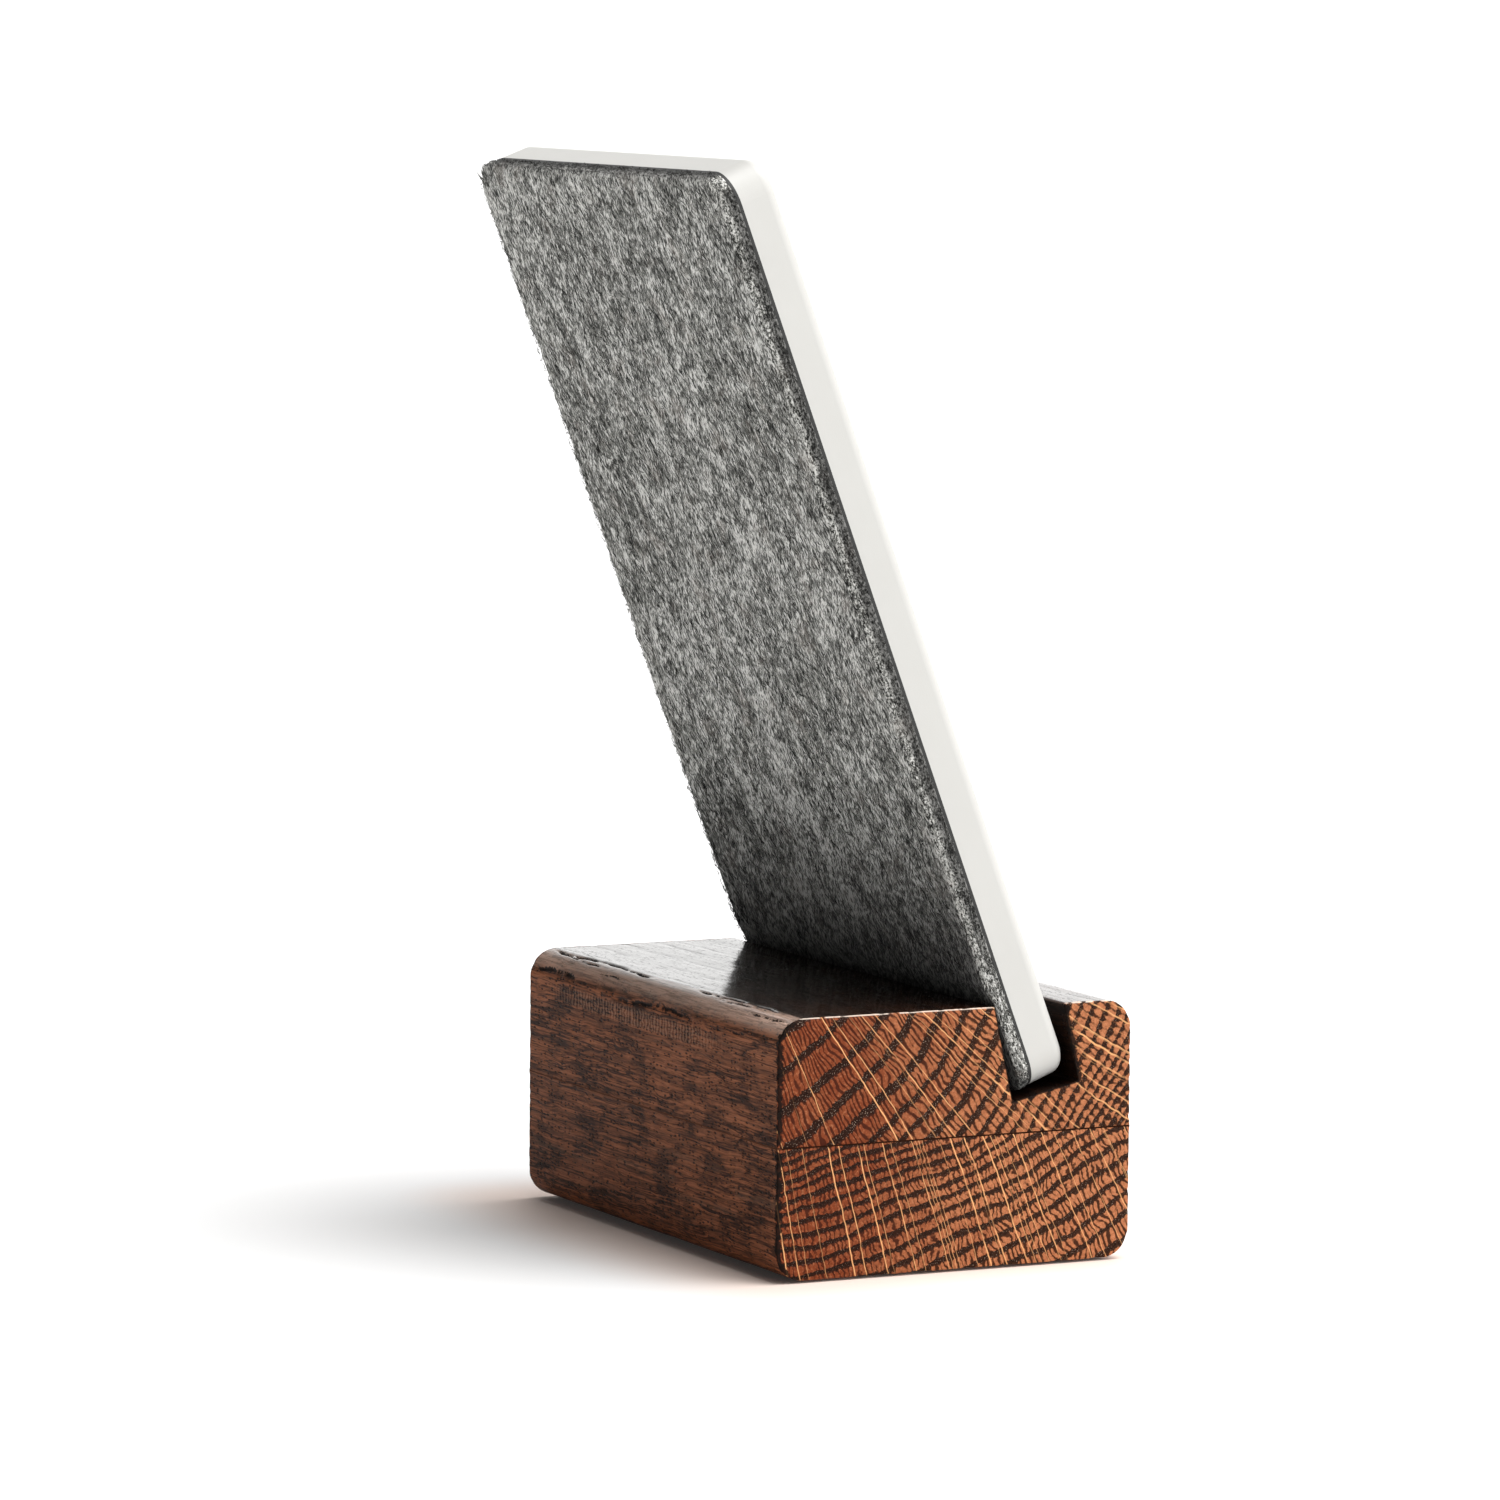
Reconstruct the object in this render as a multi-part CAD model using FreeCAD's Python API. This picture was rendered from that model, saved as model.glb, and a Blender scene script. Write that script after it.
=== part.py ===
"""Desk phone stand: a slotted oak block, glued up from two boards, and a felt-backed upright
slab that stands in the slot, leans on the slot's rear edge and lifts straight out.

Frame, in millimetres: +Z up, X along the wood grain (the stand's width), -Y towards the front.
The origin is on the table, at the centre of the whole stand's footprint box.
"""
import FreeCAD, Part
import math
import os

# ---- oak block
block_width = 88.0            # along the grain, X
block_depth = 60.0            # front to back, Y
block_top = 40.0              # top face above the table
glue_centre = 20.5            # height of the glue line between the two boards
glue_thickness = 0.2
long_edge_radius = 4.5        # the four edges along the grain
end_edge_chamfer = 0.3        # sawn ends, only just broken
pad_thickness = 0.4           # stick-on pads under the lower board
pad_diameter = 10.0
pad_inset = 11.0              # pad centre from the block's side and end faces

# ---- slot across the upper board, open at both ends
slot_tilt = 12.6              # degrees that the slot leans back from upright
slot_width = 11.5
slot_depth = 15.0             # along the rear wall
slot_rear_edge = 36.5         # top of the rear wall, forward of the block's back face
slot_lip_radius = 0.4         # eased top edges of the slot
slot_root_radius = 0.5        # corners of the slot's floor

# ---- upright, from the back: felt, adhesive film, slab
lean = 21.0                   # degrees that the upright leans back
panel_length = 148.5
panel_width = 85.0
panel_corner_radius = 5.0
panel_side_shift = -1.0       # the upright stands this far off the block's middle, in X
slab_thickness = 6.2
slab_front_radius = 1.8       # soft edge round the slab's front face
film_thickness = 0.5
felt_thickness = 2.7
felt_pinched = 2.1            # felt squeezed thin where it passes the slot's rear edge
felt_step_rise = 4.0          # length over which the felt swells back to full thickness
lean_gap = 0.1                # upright to the slot's rear edge
seat_gap = 0.1                # upright to the slot's floor

LEAN = math.radians(lean)
TILT = math.radians(slot_tilt)

# Length of upright below the slot's rear edge, with the upright seated on the slot's floor.
seat_run = (slot_depth - seat_gap + lean_gap * math.sin(LEAN - TILT)) / math.cos(LEAN - TILT)
felt_swell = felt_thickness - felt_pinched
overhang = (
    (panel_length - seat_run) * math.sin(LEAN)
    + (felt_swell - lean_gap) * math.cos(LEAN)
    - slot_rear_edge
)
back_face = (block_depth - overhang) / 2.0
front_face = back_face - block_depth
slot_edge_y = back_face - slot_rear_edge


def rounded_outline(corners):
    """A closed wire in the YZ plane through (y, z, radius) corners, each rounded to its radius."""
    edges = []
    starts = []
    ends = []
    count = len(corners)
    for i, (y, z, radius) in enumerate(corners):
        here = FreeCAD.Vector(0, y, z)
        before = FreeCAD.Vector(0, *corners[i - 1][:2])
        after = FreeCAD.Vector(0, *corners[(i + 1) % count][:2])
        to_before = (before - here).normalize()
        to_after = (after - here).normalize()
        half_angle = to_before.getAngle(to_after) / 2.0
        setback = radius / math.tan(half_angle)
        start = here + to_before * setback
        end = here + to_after * setback
        starts.append(start)
        ends.append(end)
        if radius > 0:
            bisector = (to_before + to_after).normalize()
            middle = here + bisector * (radius / math.sin(half_angle) - radius)
            edges.append(Part.Arc(start, middle, end).toShape())
    for i in range(count):
        edges.append(Part.LineSegment(ends[i], starts[(i + 1) % count]).toShape())
    return Part.Wire(Part.__sortEdges__(edges))


def along_grain(corners, width, middle=0.0):
    """A solid of the given width in X, centred on x = middle, with a rounded YZ outline."""
    face = Part.Face(rounded_outline(corners))
    face.translate(FreeCAD.Vector(middle - width / 2.0, 0, 0))
    return face.extrude(FreeCAD.Vector(width, 0, 0))


def broken_ends(board):
    """Chamfer the whole outline of both sawn ends, apart from the edge at the glue line."""
    half = block_width / 2.0
    edges = []
    for edge in board.Edges:
        box = edge.BoundBox
        on_end = box.XLength < 1e-6 and abs(abs(box.XMin) - half) < 1e-6
        in_joint = box.ZLength < 1e-6 and abs(box.ZMin - glue_centre) < 1.0
        if on_end and not in_joint:
            edges.append(edge)
    return board.makeChamfer(end_edge_chamfer, edges)


def lower_board():
    bottom = pad_thickness
    top = glue_centre - glue_thickness / 2.0
    return broken_ends(along_grain([
        (front_face, bottom, long_edge_radius),
        (back_face, bottom, long_edge_radius),
        (back_face, top, 0.0),
        (front_face, top, 0.0),
    ], block_width))


def glue_line():
    low = glue_centre - glue_thickness / 2.0
    high = glue_centre + glue_thickness / 2.0
    return along_grain([
        (front_face, low, 0.0),
        (back_face, low, 0.0),
        (back_face, high, 0.0),
        (front_face, high, 0.0),
    ], block_width)


def upper_board():
    bottom = glue_centre + glue_thickness / 2.0
    rear_root = (
        slot_edge_y - slot_depth * math.sin(TILT),
        block_top - slot_depth * math.cos(TILT),
    )
    front_root = (
        rear_root[0] - slot_width * math.cos(TILT),
        rear_root[1] + slot_width * math.sin(TILT),
    )
    front_lip_y = slot_edge_y - slot_width / math.cos(TILT)
    return broken_ends(along_grain([
        (front_face, bottom, 0.0),
        (back_face, bottom, 0.0),
        (back_face, block_top, long_edge_radius),
        (slot_edge_y, block_top, slot_lip_radius),
        (*rear_root, slot_root_radius),
        (*front_root, slot_root_radius),
        (front_lip_y, block_top, slot_lip_radius),
        (front_face, block_top, long_edge_radius),
    ], block_width))


def foot_pad(side, end):
    """One stick-on pad; side is -1 at the front and 1 at the back, end is -1 or 1 along X."""
    y = back_face - pad_inset if side > 0 else front_face + pad_inset
    x = end * (block_width / 2.0 - pad_inset)
    return Part.makeCylinder(pad_diameter / 2.0, pad_thickness, FreeCAD.Vector(x, y, 0))


def plate(back, front):
    """A panel-shaped plate between two depths, upright, its lower edge on z = 0, facing -Y."""
    half = panel_width / 2.0
    block = Part.makeBox(
        panel_width, front - back, panel_length, FreeCAD.Vector(-half, -front, 0)
    )
    corners = [edge for edge in block.Edges if edge.BoundBox.YLength > (front - back) / 2.0]
    return block.makeFillet(panel_corner_radius, corners)


def placed(shape):
    """Lean an upright-built panel piece back and seat it in the slot."""
    shape.translate(FreeCAD.Vector(panel_side_shift, 0, 0))
    shape.rotate(FreeCAD.Vector(0, 0, 0), FreeCAD.Vector(1, 0, 0), -lean)
    seat_y = slot_edge_y - seat_run * math.sin(LEAN) - lean_gap * math.cos(LEAN)
    seat_z = block_top - seat_run * math.cos(LEAN) + lean_gap * math.sin(LEAN)
    shape.translate(FreeCAD.Vector(0, seat_y, seat_z))
    return shape


def felt_backing():
    """Felt sheet, full thickness above the block and squeezed thinner down in the slot."""
    sheet = plate(-felt_swell, felt_pinched)
    squeezed = along_grain([
        (0.0, -1.0, 0.0),
        (felt_thickness, -1.0, 0.0),
        (felt_thickness, seat_run + felt_step_rise * felt_thickness / felt_swell, 0.0),
        (0.0, seat_run, 0.0),
    ], panel_width + 2.0)
    return placed(sheet.cut(squeezed))


def felt_adhesive():
    return placed(plate(felt_pinched, felt_pinched + film_thickness))


def upright_slab():
    back = felt_pinched + film_thickness
    front = back + slab_thickness
    slab = plate(back, front)
    rim = [edge for edge in slab.Edges if abs(edge.BoundBox.YMin + front) < 1e-6
           and edge.BoundBox.YLength < 1e-6]
    return placed(slab.makeFillet(slab_front_radius, rim))


pieces = {
    "lower_board": lower_board(),
    "board_glue_line": glue_line(),
    "upper_board": upper_board(),
    "upright_slab": upright_slab(),
    "felt_adhesive": felt_adhesive(),
    "felt_backing": felt_backing(),
}
for side_name, side in (("front", -1), ("back", 1)):
    for end_name, end in (("left", -1), ("right", 1)):
        pieces[f"foot_pad_{side_name}_{end_name}"] = foot_pad(side, end)

os.makedirs("parts", exist_ok=True)
for name, shape in pieces.items():
    shape.exportStep(f"parts/{name}.step")
    print(name, "valid" if shape.isValid() else "INVALID", len(shape.Solids), round(shape.Volume, 1))
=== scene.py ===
"""Looks of the desk phone stand: oak block, glue line, felt-backed white slab and foot pads, built
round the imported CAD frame. Metres throughout; +Z up, X along the wood grain, -Y the front.
"""

import math
from dataclasses import dataclass

import bmesh
import bpy
import numpy as np
from mathutils import Matrix, Vector
from mathutils.geometry import delaunay_2d_cdt

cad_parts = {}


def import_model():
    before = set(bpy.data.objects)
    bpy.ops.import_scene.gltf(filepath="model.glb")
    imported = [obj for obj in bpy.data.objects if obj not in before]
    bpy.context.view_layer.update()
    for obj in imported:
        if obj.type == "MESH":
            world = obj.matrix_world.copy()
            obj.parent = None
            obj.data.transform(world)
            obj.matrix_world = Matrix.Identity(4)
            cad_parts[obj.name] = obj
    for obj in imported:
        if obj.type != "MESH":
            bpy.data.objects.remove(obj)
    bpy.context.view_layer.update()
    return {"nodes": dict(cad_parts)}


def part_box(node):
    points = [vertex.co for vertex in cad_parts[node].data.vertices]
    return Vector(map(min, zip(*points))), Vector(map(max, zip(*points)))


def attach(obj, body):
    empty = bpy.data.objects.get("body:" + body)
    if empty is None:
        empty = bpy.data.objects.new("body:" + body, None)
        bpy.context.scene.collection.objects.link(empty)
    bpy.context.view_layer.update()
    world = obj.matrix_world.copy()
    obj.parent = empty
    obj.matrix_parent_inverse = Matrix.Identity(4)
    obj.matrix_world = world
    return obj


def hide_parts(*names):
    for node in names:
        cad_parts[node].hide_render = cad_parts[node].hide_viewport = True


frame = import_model()
nodes = frame["nodes"]
MM = 0.001

# ---- camera, fitted to the block and the upright
CAMERA_PLACE = (-1.042470, 0.526618, 0.196390)
CAMERA_FORWARD = (0.89029511, -0.44349749, -0.10336633)
CAMERA_RIGHT = (-0.445037, -0.89546763, 0.00893313)
CAMERA_LENS = 182.30          # on a 36 mm sensor

# ---- upright's own axes, at rest
LEAN = math.radians(21.0)
UP_PANEL = Vector((0.0, math.sin(LEAN), math.cos(LEAN)))
OUT_PANEL = Vector((0.0, math.cos(LEAN), -math.sin(LEAN)))     # out of the felt, backwards


def box_mm(node):
    """A node's two box corners in millimetres, in the row frame."""
    low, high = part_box(node)
    return 1000.0 * np.array(low), 1000.0 * np.array(high)


# ---- the block and its slot, in mm
SLOT_TILT = math.radians(12.6)
SLOT_WIDTH = 11.5
SLOT_DEPTH = 15.0
SLOT_REAR_EDGE = 36.5         # the slot's rear top edge, from the block's back face
BLOCK_END, BLOCK_BACK, BLOCK_TOP = (float(value) for value in np.round(box_mm("upper_board")[1], 3))
SLOT_EDGE_Y = BLOCK_BACK - SLOT_REAR_EDGE


class Nodes:
    """A tree of shader nodes. Most methods return an output socket that the next one can take."""

    def __init__(self, tree):
        self.nodes = tree.nodes
        self.links = tree.links

    def feed(self, socket, source):
        if isinstance(source, bpy.types.NodeSocket):
            self.links.new(source, socket)
        else:
            socket.default_value = source

    def make(self, kind, **inputs):
        """A new node, with its inputs fed by name; _ stands for a space."""
        node = self.nodes.new("ShaderNode" + kind)
        for name, source in inputs.items():
            self.feed(node.inputs[name.replace("_", " ")], source)
        return node

    def calc(self, operation, *terms):
        node = self.nodes.new("ShaderNodeMath")
        node.operation = operation
        for socket, term in zip(node.inputs, terms):
            self.feed(socket, term)
        return node.outputs[0]

    def add(self, a, b):
        return self.calc("ADD", a, b)

    def sub(self, a, b):
        return self.calc("SUBTRACT", a, b)

    def mul(self, a, b):
        return self.calc("MULTIPLY", a, b)

    def power(self, a, b):
        return self.calc("POWER", a, b)

    def absolute(self, a):
        return self.calc("ABSOLUTE", a)

    def largest(self, a, b):
        return self.calc("MAXIMUM", a, b)


class Shade(Nodes):
    """One material's nodes."""

    def __init__(self, name):
        self.material = bpy.data.materials.new(name)
        self.material.use_nodes = True
        super().__init__(self.material.node_tree)
        self.surface = self.nodes["Principled BSDF"]

    def step(self, value, low, high):
        """0 below low, 1 above high, smooth between. Where both are numbers, low may be the larger."""
        numbers = not any(isinstance(limit, bpy.types.NodeSocket) for limit in (low, high))
        ends = {}
        if numbers and low > high:
            low, high = high, low
            ends = {"To_Min": 1.0, "To_Max": 0.0}
        node = self.make("MapRange", Value=value, From_Min=low, From_Max=high, **ends)
        node.interpolation_type = "SMOOTHSTEP"
        return node.outputs["Result"]

    def split(self, vector):
        return tuple(self.make("SeparateXYZ", Vector=vector).outputs)

    def place(self):
        """x, y and z in millimetres in the piece's own frame, which is the row frame at rest."""
        return self.split(self.scale_colour(self.make("TexCoord").outputs["Object"], 1000.0))

    def point(self, x, y, z=0.0):
        return self.make("CombineXYZ", X=x, Y=y, Z=z).outputs[0]

    def noise(self, point, scale=1.0, detail=2.0, rough=0.5):
        node = self.make("TexNoise", Vector=point, Scale=scale, Detail=detail, Roughness=rough)
        return node.outputs["Fac"]

    def swing(self, point, size, scale=1.0, detail=2.0, rough=0.5):
        """Noise about 0, of the given size from trough to crest."""
        return self.mul(self.sub(self.noise(point, scale, detail, rough), 0.5), size)

    def cells(self, point, scale=1.0, randomness=1.0, flat=False):
        """Distance to the nearest cell's point, that point, and the cell's own colour."""
        node = self.make("TexVoronoi", Vector=point, Scale=scale, Randomness=randomness)
        node.voronoi_dimensions = "2D" if flat else "3D"
        return node.outputs["Distance"], node.outputs["Position"], node.outputs["Color"]

    def chance(self, value):
        """A random number from 0 to 1 for each whole number."""
        node = self.nodes.new("ShaderNodeTexWhiteNoise")
        node.noise_dimensions = "1D"
        self.feed(node.inputs["W"], value)
        return node.outputs["Value"]

    def mix(self, share, a, b):
        node = self.nodes.new("ShaderNodeMix")
        node.data_type = "RGBA"
        self.feed(node.inputs["Factor"], share)
        for socket, colour in ((node.inputs[6], a), (node.inputs[7], b)):
            self.feed(socket, colour if isinstance(colour, bpy.types.NodeSocket) else (*colour, 1.0))
        return node.outputs[2]

    def scale_colour(self, colour, share):
        """A colour or a vector times a number."""
        node = self.nodes.new("ShaderNodeVectorMath")
        node.operation = "SCALE"
        self.feed(node.inputs[0], colour)
        self.feed(node.inputs["Scale"], share)
        return node.outputs[0]

    def bump(self, height, distance, strength=1.0):
        node = self.make("Bump", Height=height, Distance=distance, Strength=strength)
        self.set(Normal=node.outputs["Normal"])

    def attribute(self, name):
        node = self.nodes.new("ShaderNodeAttribute")
        node.attribute_name = name
        return node.outputs["Fac"]

    def set(self, **sockets):
        """Sets the surface's sockets by name, with _ for each space."""
        for name, value in sockets.items():
            self.feed(self.surface.inputs[name.replace("_", " ")], value)


# ---- oak: growth rings about a pith line along X; the mesh's relief follows them without their raggedness

@dataclass
class Board:
    """One board's growth, in mm."""

    pith: tuple               # y and z
    roundness: float          # 2 for circular rings; less flattens them across the diagonal
    gap: float                # ring spacing at gap_radius, and its growth per mm of radius
    gap_slope: float
    gap_radius: float
    ring_shift: float
    ray_origin: tuple         # where the rays run from
    arc_radius: float         # turns an angle about that origin into mm
    rays: float               # rays per mm where that arc is 0, and half its growth per mm
    crowding: float
    squiggle: float           # how much the narrow rings' flames wander
    redness: float            # about the y where red wood turns to tan
    seed: float

    def even(self):
        """Brings a radius of any roundness to its true size on the diagonal."""
        return 2.0 ** (0.5 - 1.0 / self.roundness)

    def early_wood(self, x, y, z):
        """0 to 1, how much a point lies in the porous start of its ring."""
        drift = 0.0
        for kx, ky, kz, phase, size in RING_WAVES:
            drift = drift + size * np.sin(kx * x + ky * y + kz * z + phase + self.seed)
        across = abs(y - self.pith[0]) ** self.roundness + abs(z - self.pith[1]) ** self.roundness
        radius = across ** (1.0 / self.roundness) * self.even() + drift
        spacing = self.gap + self.gap_slope * (radius - self.gap_radius)
        ring = np.log(spacing) / self.gap_slope + self.ring_shift
        into_ring = (ring - np.floor(ring)) * spacing
        return np.clip((0.70 + 0.12 * spacing - into_ring) / 0.35, 0.0, 1.0)


RING_WAVES = (                # per mm in X, Y and Z, phase, size in mm
    (0.010, 0.085, 0.060, 0.3, 0.45),
    (0.018, -0.170, 0.200, 1.7, 0.38),
    (0.025, 0.430, 0.350, 4.1, 0.20),
    (0.040, 0.860, -0.740, 2.6, 0.10),
)
RAY_KINDS = (                 # shift along the arc, share left out, half thickness in mm and its spread
    (0.0, 0.16, 0.030, 0.058),
    (31.7, 0.82, 0.018, 0.025),
)
UPPER = Board(pith=(27.5, 49.0), roundness=1.5, gap=4.3, gap_slope=-0.078, gap_radius=24.0,
              ring_shift=0.34, ray_origin=(41.0, 76.0), arc_radius=60.0, rays=-0.175, crowding=0.0072,
              squiggle=0.3, redness=2.0, seed=3.7)
LOWER = Board(pith=(56.5, 187.6), roundness=2.0, gap=2.0, gap_slope=0.055, gap_radius=185.0,
              ring_shift=0.10, ray_origin=(56.5, 187.6), arc_radius=185.0, rays=0.38, crowding=0.0,
              squiggle=1.2, redness=2.0, seed=11.3)

LATE_RED = (0.205, 0.046, 0.016)      # the sawn end's late wood, and its flames
LATE_TAN = (0.455, 0.168, 0.074)
LATE_DARK = (0.090, 0.021, 0.008)
LATE_PALE = (0.50, 0.225, 0.110)
FLAME_RED = (0.050, 0.010, 0.004)
FLAME_TAN = (0.032, 0.010, 0.004)
EARLY_BLACK = (0.009, 0.0036, 0.002)
PORE_BLACK = (0.004, 0.002, 0.001)
EARLY_WOOD_GLINT = (0.46, 0.34, 0.26)
GRIT_DARK = (0.035, 0.010, 0.004)
RAY_PALE = (0.760, 0.385, 0.165)
SIDE_DARK = (0.032, 0.009, 0.003)     # along the grain
SIDE_PALE = (0.362, 0.128, 0.058)
SIDE_EARLY = (0.040, 0.017, 0.010)
SIDE_RAY = (0.25, 0.140, 0.090)
LINE_BLACK = (0.012, 0.004, 0.002)
SOOT = (0.018, 0.007, 0.004)
RUNG_PALE = (0.31, 0.175, 0.115)
RUNG_DARK = (0.030, 0.012, 0.007)
DASH_BLACK = (0.008, 0.004, 0.003)
PAINTED_SHEEN = (0.70, 0.50, 0.40)          # a painted sheen, painted shade in the cracks and on broken arrises, and a painted highlight on the end's top arris
CRACK_SHADE_BLACK = (0.007, 0.004, 0.003)
ARRIS_HIGHLIGHT_PAINT = (0.78, 0.66, 0.56)


class Oak(Shade):
    """Oak as a solid: the sockets that more than one of the functions below need are kept on it."""

    def __init__(self, name, board):
        super().__init__(name)
        self.board = board
        self.seed = board.seed
        self.x, self.y, self.z = self.place()


def add_rings(s):
    """Which ring a point is in and how far into it, and how far round the rays' arc it lies."""
    x, y, z, board = s.x, s.y, s.z, s.board
    forward, down = (s.power(s.absolute(s.sub(pith, at)), board.roundness)
                     for pith, at in zip(board.pith, (y, z)))
    radius = s.mul(s.power(s.add(forward, down), 1.0 / board.roundness), board.even())
    for kx, ky, kz, phase, size in RING_WAVES:
        inner = s.add(s.add(s.mul(x, kx), s.mul(y, ky)), s.add(s.mul(z, kz), phase + s.seed))
        radius = s.add(radius, s.mul(s.calc("SINE", inner), size))
    wobble_at = s.point(s.mul(x, 0.03), s.add(s.mul(y, 1.3), s.seed), s.mul(z, 1.3))
    rough_gap = s.add(s.mul(s.sub(radius, board.gap_radius), board.gap_slope), board.gap)
    ragged = s.add(radius, s.swing(wobble_at, s.add(0.15, s.mul(rough_gap, 0.34)), 1.0, 3.0, 0.6))
    s.radius = radius
    ray_y, ray_z = board.ray_origin
    s.arc = s.mul(s.calc("ARCTAN2", s.sub(ray_y, y), s.sub(ray_z, z)), board.arc_radius)
    s.spacing = s.add(s.mul(s.sub(ragged, board.gap_radius), board.gap_slope), board.gap)
    ring = s.add(s.mul(s.calc("LOGARITHM", s.spacing, math.e), 1.0 / board.gap_slope), board.ring_shift)
    s.ring_number = s.calc("FLOOR", ring)
    s.into_ring = s.mul(s.sub(ring, s.ring_number), s.spacing)
    s.narrow = s.step(s.spacing, 3.1, 2.2)
    s.plaid = s.mul(s.narrow, 1.2 - board.squiggle)     # cuts the narrow rings' rows into blocks


def add_pores(s):
    """The early wood at the start of each ring, and the vessels in it."""
    ring_chance = s.chance(s.add(s.ring_number, s.seed))
    early_depth = s.add(s.mul(ring_chance, 0.25), s.add(s.mul(s.spacing, 0.16), 0.26))
    s.early = s.step(s.sub(s.into_ring, early_depth), 0.34, -0.22)
    vessel_gap, _, _ = s.cells(s.point(s.mul(s.x, 0.035), s.add(s.y, s.seed), s.z), 3.0)
    s.pores = s.mul(s.early, s.step(vessel_gap, 0.42, 0.20))


def add_flames(s):
    """Fine dark radial strokes in the late wood, which run together in the early wood."""
    lengthwise = s.mul(s.x, 0.05)
    slow_at = s.point(s.mul(s.arc, 0.22), s.mul(s.radius, 0.20), s.add(lengthwise, s.seed))
    quick_at = s.point(s.mul(s.arc, 0.9), s.mul(s.radius, 0.95), s.add(lengthwise, s.seed))
    slow = s.swing(slow_at, s.sub(4.0, s.mul(s.plaid, 2.2)), 1.0, 1.0)
    quick = s.swing(quick_at, s.add(0.45, s.mul(s.narrow, s.board.squiggle)), 1.0, 2.0, 0.6)
    sway = s.add(slow, quick)
    wave = s.calc("SINE", s.mul(s.add(s.mul(s.arc, 1.18), sway), 2.0 * math.pi))
    broken_at = s.point(s.add(s.mul(s.arc, 1.4), sway), s.mul(s.radius, 0.60),
                        s.add(lengthwise, s.ring_number))
    broken = s.swing(broken_at, s.sub(3.4, s.mul(s.plaid, 1.6)), 1.0, 2.0, 0.6)
    stroke = s.add(s.mul(wave, 0.75), broken)
    joined = s.sub(s.sub(2.6, s.mul(s.narrow, 0.5)), s.mul(s.plaid, 0.55))
    dark = s.sub(s.add(stroke, s.mul(s.early, joined)), s.mul(s.plaid, 0.22))
    s.dark = s.step(dark, s.add(-0.20, s.mul(s.narrow, 0.10)), s.add(0.60, s.mul(s.narrow, 0.25)))


def add_rays(s):
    """Thin pale plates that run out from the rays' origin, each of limited height along the grain."""
    board = s.board
    bend = s.swing(s.point(s.mul(s.arc, 0.05), s.mul(s.radius, 0.06), s.seed), 1.2, 1.0, 1.0)
    jitter = s.swing(s.point(s.mul(s.arc, 0.3), s.mul(s.radius, 0.6), s.seed), 0.35, 1.0, 1.0)
    bent_arc = s.add(s.add(s.arc, bend), jitter)
    ray_arc = s.add(s.mul(bent_arc, board.rays), s.mul(s.mul(bent_arc, bent_arc), board.crowding))
    per_mm = s.add(s.mul(bent_arc, 2.0 * board.crowding), board.rays)
    rays = 0.0
    for shift, left_out, thin, spread in RAY_KINDS:
        shifted = s.add(ray_arc, shift)
        at = s.point(shifted, s.add(s.mul(s.x, 0.045), s.seed))
        _, cell_point, cell_colour = s.cells(at, 1.0, 0.85, flat=True)
        cell_at, _, _ = s.split(cell_point)
        kind, present, _ = s.split(cell_colour)
        off = s.calc("DIVIDE", s.absolute(s.sub(shifted, cell_at)), per_mm)
        ray = s.step(s.sub(off, s.add(s.mul(kind, spread), thin)), 0.060, -0.040)
        shown = s.mul(s.step(present, left_out, left_out + 0.1), s.add(0.60, s.mul(kind, 0.40)))
        rays = s.largest(rays, s.mul(ray, shown))
    fade = s.noise(s.point(s.mul(ray_arc, 0.8), s.mul(s.radius, 0.22), s.mul(s.x, 0.3)), 1.0, 2.0)
    s.rays = s.mul(rays, s.add(0.35, s.mul(s.step(fade, 0.34, 0.52), 0.65)))


def sawn_end(s):
    """The colour of the sawn end, from red to tan across the board."""
    x, y, z = s.x, s.y, s.z
    patch = s.swing(s.point(s.mul(x, 0.05), y, s.add(z, s.seed)), 40.0, 0.12, 2.0)
    tan = s.step(s.add(y, patch), s.board.redness + 18.0, s.board.redness - 22.0)
    lengthwise = s.mul(x, 0.1)
    fine_noise = s.noise(s.point(lengthwise, y, z), 5.5, 1.0)
    fleck = s.noise(s.point(lengthwise, s.add(y, 9.0), z), 2.1, 3.0, 0.7)
    late = s.mix(tan, LATE_RED, LATE_TAN)
    late = s.mix(s.mul(s.step(fleck, 0.56, 0.40), 0.30), late, LATE_DARK)
    late = s.mix(s.mul(s.step(fleck, 0.52, 0.66), 0.30), late, LATE_PALE)
    flame = s.mix(s.early, s.mix(tan, FLAME_RED, FLAME_TAN), EARLY_BLACK)
    colour = s.mix(s.mul(s.dark, 0.95), late, flame)
    colour = s.mix(s.mul(s.pores, 0.9), colour, PORE_BLACK)
    # pale dots in the early wood: painted glints
    speck = s.mul(s.mul(s.early, s.step(fine_noise, 0.63, 0.71)), s.sub(0.62, s.mul(s.narrow, 0.35)))
    colour = s.mix(speck, colour, EARLY_WOOD_GLINT)
    colour = s.mix(s.mul(s.step(fine_noise, 0.46, 0.28), 0.40), colour, GRIT_DARK)
    return s.mix(s.rays, colour, RAY_PALE)


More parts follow.
